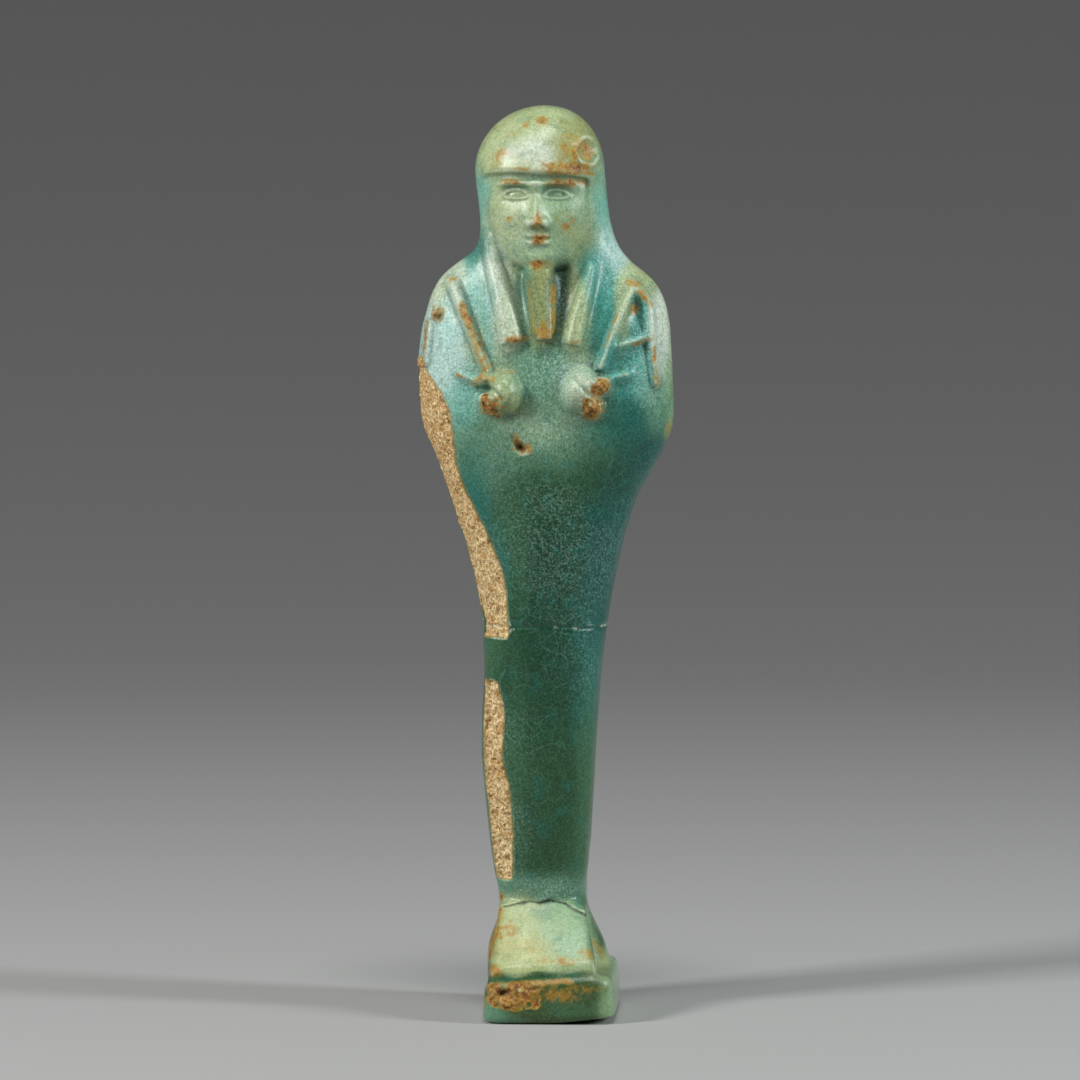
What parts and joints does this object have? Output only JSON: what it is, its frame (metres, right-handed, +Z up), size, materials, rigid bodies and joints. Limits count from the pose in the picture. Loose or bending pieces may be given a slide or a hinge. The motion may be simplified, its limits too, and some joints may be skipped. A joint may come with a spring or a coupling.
{
  "type": "ushabti figurine",
  "caption": "Small glazed funerary figurine: a mummiform body with wig, beard and two hoes, standing on its own plinth against a back pillar.",
  "frame": {"origin": "middle of the underside of the plinth, on the ground", "axes": "+Z up along the figure's height, -Y the way the figure faces, +X towards its own left hand"},
  "size_m": [0.0369, 0.0244, 0.13],
  "materials": {
    "glazed_faience": "glossy mottled blue-green glaze, worn thin on the edges, with two flakes down to the sandy core"
  },
  "bodies": {
    "root": {"ushabti": "glazed_faience"}
  },
  "joints": []
}
